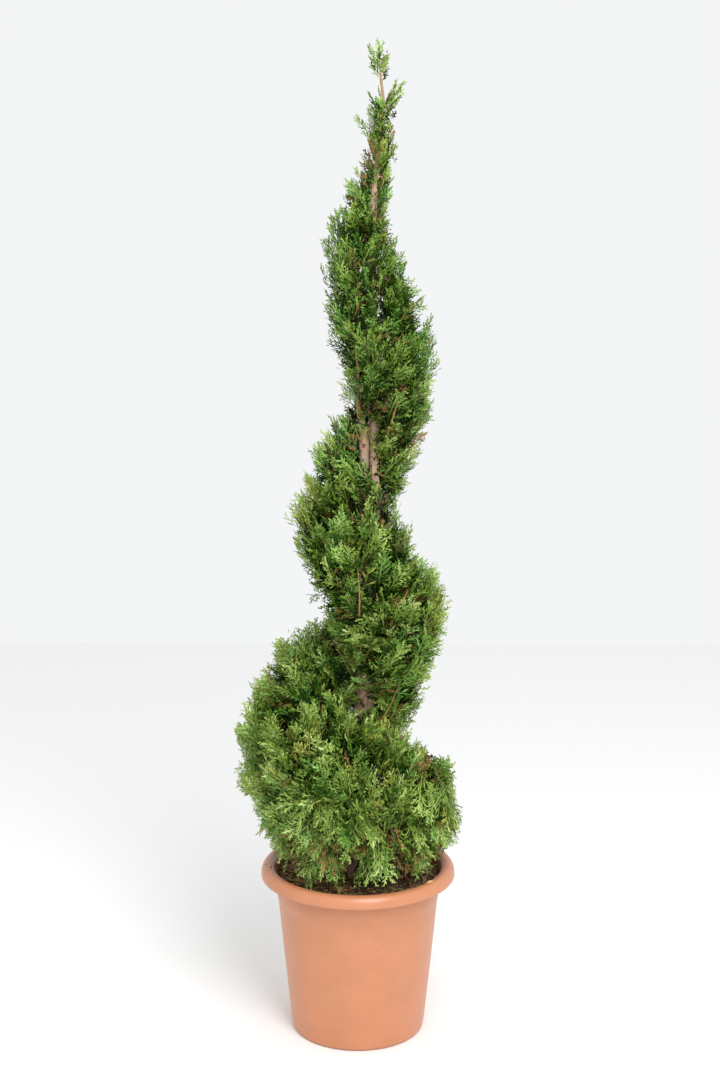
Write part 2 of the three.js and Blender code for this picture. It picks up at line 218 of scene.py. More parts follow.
def holed_floor(height, up):
    """The floor at a height: a sheet from each drain hole out to its sector's border, and a disc between."""
    turn = 2 * np.pi / DRAIN_HOLES
    side = POT_SIDES // DRAIN_HOLES
    across = np.linspace(-turn / 2, turn / 2, side + 1)
    along = np.linspace(DRAIN_CIRCLE * 0.35, FOOT_RADIUS - FOOT_BEND, side // 2 + 1)
    border = np.concatenate([
        round_points(along[-1], across)[:-1],
        round_points(along, turn / 2)[::-1][:-1],
        round_points(along[0], across)[::-1][:-1],
        round_points(along, -turn / 2),
    ])
    aim = np.arctan2(border[:, 1], border[:, 0] - DRAIN_CIRCLE)
    hole = round_points(DRAIN_HOLE_RADIUS, aim) + [DRAIN_CIRCLE, 0]
    share = np.linspace(0, 1, 6)[:, None, None]
    x, y = (hole * (1 - share) + border * share).reshape(-1, 2).T
    sheets = []
    for k in range(DRAIN_HOLES):
        c, s = np.cos(k * turn), np.sin(k * turn)
        sheets.append((np.stack([x * c - y * s, x * s + y * c], -1), grid_faces(6, len(border))))
    edge = np.arange(POT_SIDES + 1) * 2 * np.pi / POT_SIDES + turn / 2
    disc = round_points(np.linspace(0, 1, 6)[:, None] * along[0], edge).reshape(-1, 2)
    points, faces = joined([*sheets, (disc, grid_faces(6, POT_SIDES + 1)[:, ::-1])])
    return np.column_stack([points, np.full(len(points), height)]), faces if up else faces[:, ::-1]


def hole_wall(turn):
    """The short wall of the drain hole at that turn: hole centre + r·(cos a, sin a), through the floor."""
    angle = np.linspace(0, 2 * np.pi, HOLE_SIDES + 1)
    ring = round_points(DRAIN_CIRCLE, turn) + round_points(DRAIN_HOLE_RADIUS, angle)
    heights = np.repeat([0, FLOOR], HOLE_SIDES + 1)
    return np.column_stack([np.tile(ring, (2, 1)), heights]), grid_faces(2, HOLE_SIDES + 1)[:, ::-1]


# Moulded polypropylene: a satin skin with a faint grain from the mould, paler where it was handled and
# rubbed, a thin film of dried splashes and dust, and specks of compost on the rim.
plastic, tree, shader = new_material(
    "injection_moulded_polypropylene_terracotta", Roughness=0.36, IOR=1.49, Specular_IOR_Level=0.70
)
place = add(tree, "TexCoord", out="Object")
blotches = add(tree, "TexNoise", {"Scale": 14.0, "Detail": 5.0, "Roughness": 0.6}, {"Vector": place})
oranges = [(0.30, "#BE7B54"), (0.70, "#C7835C"), (0.5, "#C37F58")]
body = add(tree, "ValToRGB", {"stops": oranges}, {"Fac": blotches})
splash = add(tree, "TexNoise", {"Scale": 90.0, "Detail": 3.0}, {"Vector": place})
film = add(tree, "ValToRGB", {"stops": [(0.60, "#000000"), (0.72, "#FFFFFF")]}, {"Fac": splash})
height = add(tree, "SeparateXYZ", None, {0: place}, "Z")
upward = add(tree, "MapRange", {"From Min": 0.20, "From Max": 0.34, "To Max": 0.22}, {"Value": height})
dusty = add(tree, "Math", {"operation": "MULTIPLY"}, {0: film, 1: upward})
dusted = add(tree, "Mix", {"data_type": "RGBA", 7: linear("#A8805F")}, {0: dusty, 6: body}, 2)
aslant = {"Scale": (60.0, 60.0, 420.0), "Rotation": (0.5, 0.3, 0.0)}
scuffs = add(tree, "Mapping", aslant, {"Vector": place})
scratch = add(tree, "TexNoise", {"Scale": 1.0, "Detail": 1.0}, {"Vector": scuffs})
few_and_faint = [(0.74, "#000000"), (0.78, (0.35, 0.35, 0.35, 1))]
scratched = add(tree, "ValToRGB", {"stops": few_and_faint}, {"Fac": scratch})
rubbed = add(tree, "Mix", {"data_type": "RGBA", 7: linear("#E3B093")}, {0: scratched, 6: dusted}, 2)
tree.links.new(rubbed, shader.inputs["Base Color"])
grain = add(tree, "TexNoise", {"Scale": 900.0, "Detail": 2.0}, {"Vector": place})
sheen = add(tree, "MapRange", {"To Min": 0.30, "To Max": 0.44}, {"Value": blotches})
tree.links.new(sheen, shader.inputs["Roughness"])
moulded = add(tree, "Bump", {"Strength": 0.12, "Distance": 0.0004}, {"Height": grain})
tree.links.new(moulded, shader.inputs["Normal"])

profile = pot_profile()
points, faces = joined([
    (turned(profile, POT_SIDES), grid_faces(len(profile), POT_SIDES + 1)),
    holed_floor(0.0, False),
    holed_floor(FLOOR, True),
    *(hole_wall(k * 2 * np.pi / DRAIN_HOLES) for k in range(DRAIN_HOLES)),
])
new_piece("container_pot", points, faces, [plastic], ["pot"], weld=True)


# ---- The compost ----
# Dark peat compost that fills the pot to just below its rim, crumbly and uneven, with bark fibres.
# It was pressed down by hand round the trunk and settled with watering.

soil_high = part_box("soil")[1]
SOIL_EDGE = 0.313
SOIL_TOP = soil_high.z
SOIL_RADIUS = soil_high.x
SOIL_FLAT = 0.060
SOIL_SIDES = 240


def noise(points, size, seed):
    """Smooth unevenness from -1 to 1: random values on a lattice of that size, blended by 3t² - 2t³."""
    scaled = np.asarray(points) / size
    cell = np.floor(scaled).astype(np.int64)
    part = scaled - cell
    ease = part * part * (3 - 2 * part)
    total = np.zeros(scaled.shape[:-1])
    for corner in np.ndindex(2, 2, 2):
        key = ((cell + corner) * np.array([73856093, 19349663, 83492791])).sum(-1) + seed * 9176741
        key = (key ^ (key >> 13)) * 1274126177 & 0x7FFFFFFF
        value = ((key ^ (key >> 16)) & 0xFFFF) / 32767.5 - 1
        total += value * np.prod(np.where(corner, ease, 1 - ease), axis=-1)
    return total


def soil_height(x, y):
    """The compost's surface: from its flat middle down to its edge, plus lumps of 22, 7 and 3 mm."""
    radius = np.hypot(x, y)
    base = SOIL_TOP - (SOIL_TOP - SOIL_EDGE) * np.clip((radius - SOIL_FLAT) / (SOIL_RADIUS - SOIL_FLAT), 0, 1)
    flat = np.stack([x, y, np.zeros_like(x)], -1)
    return base - 0.0035 + (
        0.0028 * noise(flat, 0.022, 3) + 0.0018 * noise(flat, 0.007, 4) + 0.0008 * noise(flat, 0.0032, 5)
    )


# Damp peat: very dark brown, matt, with paler fibres and crumbs.
peat, tree, shader = new_material("damp_peat_compost", Roughness=0.95)
place = add(tree, "TexCoord", out="Object")
crumbs = add(tree, "TexNoise", {"Scale": 160.0, "Detail": 6.0, "Roughness": 0.7}, {"Vector": place})
browns = [(0.30, "#281C10"), (0.75, "#9A8460"), (0.52, "#5A4630")]
brown = add(tree, "ValToRGB", {"stops": browns}, {"Fac": crumbs})
tree.links.new(brown, shader.inputs["Base Color"])
rough = add(tree, "Bump", {"Strength": 0.8, "Distance": 0.003}, {"Height": crumbs})
tree.links.new(rough, shader.inputs["Normal"])

radius = np.linspace(0, SOIL_RADIUS - 0.0003, 70)[:, None]
x, y = np.moveaxis(round_points(radius, np.linspace(0, 2 * np.pi, SOIL_SIDES + 1)), -1, 0)
top = np.stack([x, y, soil_height(x, y)], -1).reshape(-1, 3)
base = FLOOR + 0.0003
under = turned(np.array([[wall_radius(0.010) - WALL - 0.001, 0.010], [0.121, base], [0, base]]), SOIL_SIDES)
points = np.concatenate([top, under])
faces = grid_faces(len(points) // (SOIL_SIDES + 1), SOIL_SIDES + 1)[:, ::-1]
new_piece("compost", points, faces, [peat], ["soil"], weld=True)


# ---- The trunk and the second leader ----
# The living wood that carries the plant: a trunk that tapers from its root flare to its tip, and a
# slimmer stem that stands against it where the groove is widest. Both have thin, stringy bark.

TRUNK_RINGS = 31
TRUNK_POINTS = 12
LEADER_LINE = [
    [0.022, 0.000, 0.985],
    [0.012, -0.007, 1.050],
    [0.012, -0.008, 1.130],
    [0.011, -0.007, 1.190],
    [0.004, -0.006, 1.228],
]
LEADER_RADII = (0.010, 0.006)
KNOT = np.array([0.0105, -0.0175, 1.168])


def mesh_points(name):
    """The points of a CAD node's mesh, in metres."""
    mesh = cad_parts[name].data
    flat = np.zeros(len(mesh.vertices) * 3, np.float32)
    mesh.vertices.foreach_get("co", flat)
    return flat.reshape(-1, 3)


def node_points(name):
    """The separate points of a CAD node, in metres: those of its loose triangles, merged."""
    return np.unique(mesh_points(name).round(6), axis=0).astype(float)


def smooth_line(points, count):
    """count places along the smooth curve through points: between two, the cubic with their slopes."""
    points = np.asarray(points, float)
    slope = np.gradient(points, axis=0)
    place = np.linspace(0, len(points) - 1, count)
    i = np.minimum(place.astype(int), len(points) - 2)
    f = (place - i)[:, None]
    start, end = (1 + 2 * f) * (1 - f) ** 2, (3 - 2 * f) * f**2
    bends = f * (1 - f) ** 2 * slope[i], f**2 * (1 - f) * slope[i + 1]
    return start * points[i] + end * points[i + 1] + bends[0] - bends[1]


def carried(lines, radii, sides):
    """Rings carried along lines: centre + radius·(across·cos a + beside·sin a), the seam's point twice.

    across is square to the line, as near as can be to a fixed axis, and beside is square to both.
    """
    ahead = np.gradient(lines, axis=-2)
    ahead /= np.linalg.norm(ahead, axis=-1, keepdims=True) + 1e-12
    whole = lines[..., -1, :] - lines[..., 0, :]
    steep = np.abs(whole[..., 2]) > np.linalg.norm(whole, axis=-1) * 0.6
    fixed = np.where(steep[..., None], [1.0, 0.0, 0.0], [0.0, 0.0, 1.0])[..., None, :]
    across = fixed - ahead * (ahead * fixed).sum(-1, keepdims=True)
    across /= np.linalg.norm(across, axis=-1, keepdims=True) + 1e-12
    beside = np.cross(ahead, across)
    angle = np.linspace(0, 2 * np.pi, sides + 1)[:, None]
    ring = across[..., None, :] * np.cos(angle) + beside[..., None, :] * np.sin(angle)
    return lines[..., None, :] + radii[..., None] * ring


def barked(line, radii, sides, shift=0.0, size=None):
    """A limb's rings, their angles, and its stringy bark's relief from -1 to 1.

    The bark is long narrow ridges that wander up the limb, split by cracks, plus a fine grain. shift moves
    its pattern, so that no two limbs share it.
    """
    rings = carried(line, radii[:, None], sides)
    angle = np.broadcast_to(np.linspace(0, 2 * np.pi, sides + 1), rings.shape[:2])
    size = (radii if size is None else size)[:, None]
    points = rings + shift
    wander = angle + 0.5 * noise(points, 0.05, 11)
    around = np.stack([np.cos(wander) * size, np.sin(wander) * size, (line[:, 2:] + 0 * angle) * 0.14], -1)
    ridges = 1 - 2 * np.abs(noise(around, 0.006, 12))
    strips = noise(around, 0.011, 13)
    return rings, angle, 0.55 * ridges + 0.3 * strips + 0.15 * noise(points, 0.003, 14)


def closed(rings, line, ends):
    """Rings with these of them drawn in to a point on the line, and both points of the seam together."""
    rings[ends] = line[ends, None]
    rings[:, -1] = rings[:, 0]
    return rings


rings = node_points("trunk")
rings = rings[np.argsort(rings[:, 2])].reshape(TRUNK_RINGS, TRUNK_POINTS, 3)
trunk_line = rings.mean(1)
trunk_radii = np.linalg.norm(rings - trunk_line[:, None], axis=-1).mean(1)


def trunk_centre(height):
    """The trunk's centre at heights, from its CAD rings."""
    return np.stack([np.interp(height, trunk_line[:, 2], trunk_line[:, k]) for k in (0, 1)], -1)


def trunk_radius(height):
    """The trunk's radius at heights, from its CAD rings."""
    return np.interp(height, trunk_line[:, 2], trunk_radii)


def trunk_surface():
    """The trunk: rings along its line, each radius times ribs that deepen in the root flare, plus the relief.

    It stands on a flat cut, just under the top of the compost.
    """
    line = smooth_line(trunk_line, 540)
    line[0, 2] = SOIL_TOP - 0.012
    radii = trunk_radius(line[:, 2])
    rings, angle, relief = barked(line, radii, 64, size=np.maximum(radii, 0.004))
    flare = np.clip(1 - (line[:, 2] - SOIL_TOP) / 0.13, 0, 1)[:, None] ** 2
    ribs = (0.04 + 0.1 * flare) * np.sin(3 * angle + line[:, 2:] / 0.17)
    depth = np.clip(radii * 0.10, 0.0003, 0.0020)[:, None]
    centre = line[:, None]
    out = (rings - centre) / (radii[:, None, None] + 1e-9)
    rings = centre + out * (radii[:, None] * (1 + ribs) + depth * relief)[..., None]
    return np.concatenate([0 * rings[:1] + line[0], closed(rings, line, [-1])])


def leader_surface():
    """The second leader: rings along its line, swollen at the healed knot, where a round hollow is left."""
    line = smooth_line(LEADER_LINE, 190)
    swell = np.exp(-(((line[:, 2] - KNOT[2]) / 0.014) ** 2))
    radii = np.linspace(*LEADER_RADII, 190) * (1 + 0.22 * swell)
    rings, _, relief = barked(line, radii, 56, shift=3.0)
    out = (rings - line[:, None]) / radii[:, None, None]
    away = np.linalg.norm((rings - KNOT) * [1, 0.5, 1], axis=-1)
    collar = 0.0016 * np.exp(-(((away - 0.0062) / 0.0022) ** 2)) - 0.0055 * np.exp(-((away / 0.0030) ** 2))
    rings = line[:, None] + out * (radii[:, None] + 0.0011 * relief + collar)[..., None]
    return closed(rings, line, [0, -1])


# Living bark: pinkish brown with a grey bloom, pulled into long thin strips about 3 mm wide, darker in
# the cracks between them, and orange brown where it is young. Painted shade: the knot's hollow is
# nearly black.
bark, tree, shader = new_material("stringy_living_bark", Roughness=0.85, Specular_IOR_Level=0.25)
place = add(tree, "TexCoord", out="Object")
long_way = add(tree, "Mapping", {"Scale": (1.0, 1.0, 0.13)}, {"Vector": place})
strips = add(tree, "TexNoise", {"Scale": 320.0, "Detail": 4.0, "Roughness": 0.65}, {"Vector": long_way})
hue = add(tree, "TexNoise", {"Scale": 28.0, "Detail": 3.0}, {"Vector": place})
browns = [(0.28, "#553E2E"), (0.74, "#CFB598"), (0.42, "#97765C"), (0.58, "#B5957A")]
wood = add(tree, "ValToRGB", {"stops": browns}, {"Fac": strips})
bloom = add(tree, "ValToRGB", {"stops": [(0.42, "#000000"), (0.66, (0.55, 0.55, 0.55, 1))]}, {"Fac": hue})
greyed = add(tree, "Mix", {"data_type": "RGBA", 7: linear("#A39588")}, {0: bloom, 6: wood}, 2)
height = add(tree, "SeparateXYZ", None, {0: place}, "Z")
young = add(tree, "MapRange", {"From Min": 1.70, "From Max": 1.80, "To Max": 0.7}, {"Value": height})
orange = add(tree, "Mix", {"data_type": "RGBA", 7: linear("#9C7145")}, {0: young, 6: greyed}, 2)
# Painted shade: the bark goes nearly black within about 5 mm of the knot's centre, inside its hollow.
to_knot = add(tree, "VectorMath", {"operation": "DISTANCE", 1: tuple(KNOT)}, {0: place}, "Value")
near = {"From Min": 0.0028, "From Max": 0.0052, "To Min": 1.0, "To Max": 0.0}
hollow = add(tree, "MapRange", near, {"Value": to_knot})
bark_with_painted_knot_shade = add(tree, "Mix", {"data_type": "RGBA", 7: linear("#1C1210")}, {0: hollow, 6: orange}, 2)
tree.links.new(bark_with_painted_knot_shade, shader.inputs["Base Color"])
grooves = add(tree, "Bump", {"Strength": 0.6, "Distance": 0.0012}, {"Height": strips})
tree.links.new(grooves, shader.inputs["Normal"])

limbs = [("trunk_bark", trunk_surface(), "trunk"), ("leader_bark", leader_surface(), "second_leader")]
for name, surface, node in limbs:
    new_piece(name, surface.reshape(-1, 3), grid_faces(*surface.shape[:2]), [bark], [node], weld=True)


# ---- The sprays of foliage ----
# Flat, lacy sprays of tiny scale leaves, pressed to thin forking branchlets about 2 mm wide. The
# gardener clips their tips, so they end together on the faces of the spiral.

GREENS = {
    "deep_shade": "#1B2E07",
    "shade": "#3A5A15",
    "summer": "#64822F",
    "fresh": "#7D9B3E",
    "bright": "#9DB65C",
    "pale_tip": "#C4D08E",
    "cool_shade": "#305618",
    "cool_summer": "#56802F",
    "cool_fresh": "#6C993E",
    "cool_bright": "#8FB65E",
    "warm_shade": "#475717",
    "warm_summer": "#70802A",
    "warm_fresh": "#8B993A",
    "warm_bright": "#A9B356",
    "dead_rust": "#746039",
    "dry_orange": "#94703C",
}
# For cool, middle and warm hues: the numbers of their greens, from painted deep shade to pale tip.
# A fan's glow picks the step, so the ladder carries painted light and shade.
LADDERS = np.array([[0, 6, 7, 8, 9, 5], [0, 1, 2, 3, 4, 5], [0, 10, 11, 12, 13, 5]])
GLOW_STEPS = [0.02, 0.22, 0.46, 0.72, 1.10]
DEAD, ORANGE = 14, 15
OLD_AND_SHADED_WORDS = ("shade", "dead", "dry")
# Each piece of foliage: its seed, and the masses that it stands for.
MASS_GROUPS = {
    41: ["mass_01", "mass_02"],
    42: ["mass_03_lower", "mass_03_upper"],
    33: ["mass_04_lower", "mass_04_upper"],
    14: ["mass_05", "mass_06"],
    15: ["mass_07", "mass_08"],
    16: ["mass_09", "mass_10"],
    17: ["mass_11", "mass_12"],
    28: ["mass_13", "mass_14", "mass_15", "mass_16", "side_tuft", "tip_tuft"],
}
OUTER_FANS, OUTER_DEPTH, OUTER_SHOOTS = 1200, (0, 0.010), 11
INNER_FANS, INNER_DEPTH, INNER_SHOOTS = 4600, (0.010, 0.034), 6
BRANCHLET = 0.0025
INNER_WIDTH = 1.4
BLADE_ROLL = 0.38
LOOSE_TIPS = 0.012
FAN_LENGTHS = [0.102, 0.090, 0.076, 0.062, 0.044]
FAN_BEND = (0.05, 0.08)
DRIFT = 0.70
EDGE_ON = 0.35
LEAST_OUTWARD = 0.30
OUTER_GLOW = [0.68, 0.64, 0.44, 0.47, 0.66]
# SHADING is painted shade: the deeper inside a mass a fan's tips end, the darker its green.
SHADING = 34
# TIP_GAIN is painted light and shade: shoots towards a fan's tip get brighter greens, those at its foot
# darker.
TIP_GAIN = 0.7
SHOOT_CHANGE = 0.06
BLADE_CHANGE = 0.18
WOODY_STALKS = 0.11
CORE_FACES = -0.35
CORE_DENSITY = 0.25
FLAT_CUT = 0.985
CUT_REACH = 0.12
LOWEST_FANS = 0.350
SKIRT_TOP = 0.43
STANDING_TOP = 0.62
PARTING, PARTING_SPREAD = 0.51, 0.035
TRUNK_SPRAYS = 70
LEADING_SPRAYS = 44
LEADING_FROM, LEADING_TO = 1.56, 1.80
DEAD_SHOOTS = [1.698, 1.690, 1.682, 1.674, 1.706]
# Where the front of the wood shows between the sprays: from and to, in height and from left to right.
BARE_WOOD = [
    [0.700, 0.748, 0.000, 0.016],
    [1.125, 1.228, -0.008, 0.014],
    [1.120, 1.200, 0.016, 0.036],
    [1.615, 1.655, 0.012, 0.036],
]
# Shoots that the shears missed: their foot, the way they point, their length and their glow.
MISSED_SHOOTS = [
    [0.112, -0.035, 0.540, 0.1, 0.0, 1.0, 0.056, 0.80],
    [-0.198, -0.030, 0.598, -1.0, -0.1, 0.8, 0.052, 0.90],
    [-0.192, 0.020, 0.580, -1.0, 0.1, 0.5, 0.052, 0.85],
    [-0.128, -0.010, 0.745, -0.6, 0.0, 1.0, 0.056, 0.60],
    [0.018, -0.044, 0.618, 0.0, -0.2, 1.0, 0.052, 0.40],
]
MISSED_FANS = 5


def unit(vectors):
    """The same directions, each one long."""
    return vectors / (np.linalg.norm(vectors, axis=-1, keepdims=True) + 1e-12)


def shoot_shape(fingers, seed):
    """A feathered shoot one unit long, as thin kites: its axis, and shorter fingers on both sides by turns.

    A finger at place p is 0.42 - 0.22·p long and leans 24 to 38 degrees off the axis. It gives each kite's
    foot and tip, and the way its width lies, which is turned a little out of the shoot's plane.
    """
    dice = np.random.default_rng(seed)
    number = np.arange(fingers)
    place = 0.12 + 0.80 * (number + dice.uniform(-0.25, 0.25, fingers)) / fingers
    turn = np.where((number + seed) % 2, 1.0, -1.0) * np.radians(dice.uniform(24, 38, fingers))
    reach = (0.42 - 0.22 * place) * dice.uniform(0.75, 1.2, fingers)
    place, turn, reach = (np.append(first, rest) for first, rest in ((0.0, place), (0.0, turn), (1.0, reach)))
    flat = np.zeros_like(place)
    feet = np.stack([place, flat, flat], -1)
    rise = dice.normal(0, 0.03, fingers + 1)
    tips = feet + np.stack([reach * np.cos(turn), reach * np.sin(turn), rise], -1)
    roll = dice.normal(0, BLADE_ROLL, fingers + 1)
    widths = np.stack([-np.sin(turn) * np.cos(roll), np.cos(turn) * np.cos(roll), np.sin(roll)], -1)
    return feet, tips, widths


FULL_SHOOTS = [shoot_shape(5, seed) for seed in range(12)]
PLAIN_SHOOTS = [shoot_shape(4, seed) for seed in range(20, 28)]


def held_in(points):
    """Points e metres past the plant's box are drawn in, to LOOSE_TIPS·tanh(e / LOOSE_TIPS) past it."""
    low, high = (np.array([*corner]) for corner in cad_box)
    over, under = np.maximum(points - high, 0), np.maximum(low - points, 0)
    points = points - over + LOOSE_TIPS * np.tanh(over / LOOSE_TIPS)
    return points + under - LOOSE_TIPS * np.tanh(under / LOOSE_TIPS)


def shoots_in_place(shapes, feet, ahead, across, lengths, thick):
    """Feathered shoots where they grow: foot + length·(u·ahead + v·across + w·square), as kites.

    Each kite is as wide as thick at 0.6 of its length, and thinner up the plant.
    """
    thick = thick * np.interp(feet[:, 2], [0.5, 1.2, 1.76, 1.82], [1.0, 0.90, 0.82, 1.05])
    kinds = rng.integers(0, len(shapes), len(feet))
    frames = np.stack([ahead, across, np.cross(ahead, across)], 1)
    points, owners = [], []
    for k, (low, high, side) in enumerate(shapes):
        mine = np.flatnonzero(kinds == k)
        size = lengths[mine, None, None]
        half = side * thick[mine, None, None] / 2
        middle = (0.4 * low + 0.6 * high) * size
        kites = np.stack([low * size, middle - half, high * size, middle + half], 2)
        placed = feet[mine, None, None] + np.einsum("nbpk,nkj->nbpj", kites, frames[mine])
        points.append(placed.reshape(-1, 3))
        owners.append(np.repeat(mine, len(low)))
    return np.concatenate(points), np.concatenate(owners)


def fans(feet, ahead, across, lengths, bends, count):
    """The shoots of flat fans: count shoots, by turns on both sides of each fan's stalk, the last along it.

    A shoot at share s of the stalk is 0.44·(1 - s)**0.75 + 0.12 of the fan's length, and leans 44 - 20·s
    degrees. The stalk curves out of its plane by bend·s². It gives each shoot's fan, share, foot,
    direction, width and length.
    """
    fan = np.repeat(np.arange(len(feet)), count)
    order = np.tile(np.arange(count), len(feet))
    last = order == count - 1
    along = 0.12 + 0.78 * (order + rng.uniform(-0.3, 0.3, len(fan))) / (count - 1)
    share = np.where(last, 0.60, along)
    sign = np.where((order + fan) % 2, 1.0, -1.0)
    lean = np.where(last, 0.0, sign * np.radians(44 - 20 * share + 6 * rng.normal(size=len(fan))))
    size = (0.44 * np.clip(1 - share, 0, 1) ** 0.75 + 0.12) * rng.uniform(0.75, 1.15, len(fan))
    square = np.cross(ahead, across)[fan]
    bend = bends[fan, None]
    share, size, lean = share[:, None], size[:, None], lean[:, None]
    long = lengths[fan, None]
    start = feet[fan] + long * (share * ahead[fan] + bend * share**2 * square)
    rise = 2 * bend * share + 0.08 * rng.normal(size=share.shape)
    aim = unit(np.cos(lean) * ahead[fan] + np.sin(lean) * across[fan] + rise * square)
    wide = np.linalg.norm(across[fan], axis=-1, keepdims=True)
    flat = square + 0.22 * rng.normal(size=(len(fan), 3))
    return fan, share[:, 0], start, aim, unit(np.cross(flat, aim)), (long * size * wide**0.5)[:, 0]


def out_of_trunk(places):
    """How far places are from the trunk's centre, and the level directions from it to them."""
    away = places[:, :2] - trunk_centre(places[:, 2])
    return np.linalg.norm(away, axis=-1), unit(np.column_stack([away, np.zeros(len(away))]))


def clipped_faces(name, density):
    """Random places on a mass's faces, and the faces' directions: dense outside, sparse on the core.

    There are none on the upright faces between masses.
    """
    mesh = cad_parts[name].data
    mesh.calc_loop_triangles()
    index = np.zeros(len(mesh.loop_triangles) * 3, np.int32)
    mesh.loop_triangles.foreach_get("vertices", index)
    corners = mesh_points(name)[index].reshape(-1, 3, 3).astype(float)
    normal = np.cross(corners[:, 1] - corners[:, 0], corners[:, 2] - corners[:, 0])
    area = np.linalg.norm(normal, axis=-1) / 2
    normal = unit(normal)
    _, radial = out_of_trunk(corners.mean(1))
    out = (normal * radial).sum(-1)
    sideways = np.abs((normal * np.cross([0, 0, 1.0], radial)).sum(-1))
    outside = np.clip(out + 0.35 + 0.5 * np.abs(normal[:, 2]), 0, 1)
    weight = area * (np.where(out > CORE_FACES, outside, CORE_DENSITY) * (sideways < 0.85))
    count = int(density * weight.sum())
    pick = rng.choice(len(area), count, p=weight / weight.sum())
    a, b = rng.random((2, count, 1))
    flip = a + b > 1
    a, b = np.where(flip, 1 - a, a), np.where(flip, 1 - b, b)
    chosen = corners[pick]
    places = chosen[:, 0] + a * (chosen[:, 1] - chosen[:, 0]) + b * (chosen[:, 2] - chosen[:, 0])
    return places, normal[pick], out[pick] < CORE_FACES


# Waxy scale leaves: an even green in each spray, with a soft gloss. They are duller on the old and dry
# ones and on the greens of painted shade.
leaf_materials = [
    new_material(
        "scale_leaves_" + name,
        Base_Color=linear(shade),
        Roughness=0.40,
        Specular_IOR_Level=0.12 if any(word in name for word in OLD_AND_SHADED_WORDS) else 0.30,
    )[0]
    for name, shade in GREENS.items()
]


def hue_of(places):
    """0 for cool, 1 for middle and 2 for warm greens: partly the branch's own, partly each spray's."""
    lean = 0.6 * noise(places, 0.055, 41) + 0.40 * rng.normal(size=len(places))
    return np.digitize(lean, [-0.48, 0.52])


def tuft_layout(name):
    """A loose tuft: four flat open fans up its shoot, each turned its own way, as wide as the tuft."""
    points = node_points(name)
    order = np.argsort(points[:, 2])
    high, low = points[order[-8:]].mean(0), points[order[:8]].mean(0)
    high = high - 0.12 * (high - low)
    low = low - 0.6 * (high - low)
    reach = np.linalg.norm(high - low)
    ahead = unit(high - low)
    aside = np.cross(ahead, [0.0, 1.0, 0.0])
    wide = np.ptp(points @ aside) / reach
    share = np.array([0.0, 0.24, 0.16, 0.45])
    lean = np.array([0.0, 0.85, -0.80, 0.15])[:, None]
    twist = np.array([0.1, 0.5, -0.4, 1.2])[:, None]
    ways = unit(ahead + lean * wide * aside)
    across = unit(np.cross(ways, [0.0, 1.0, 0.0]) * np.cos(twist) + np.sin(twist) * [0, 1.0, 0])
    lengths = reach * (1.0 - share) * [1.0, 0.92, 0.72, 0.85]
    bends, glow = np.array([0.03, 0.06, -0.05, 0.0]), np.array([0.52, 0.42, 0.48, 0.40])
    feet = low + share[:, None] * (high - low)
    return feet, ways, 1.5 * wide * across, lengths, bends, glow, 0 * glow, np.array([1, 1, 2, 1])


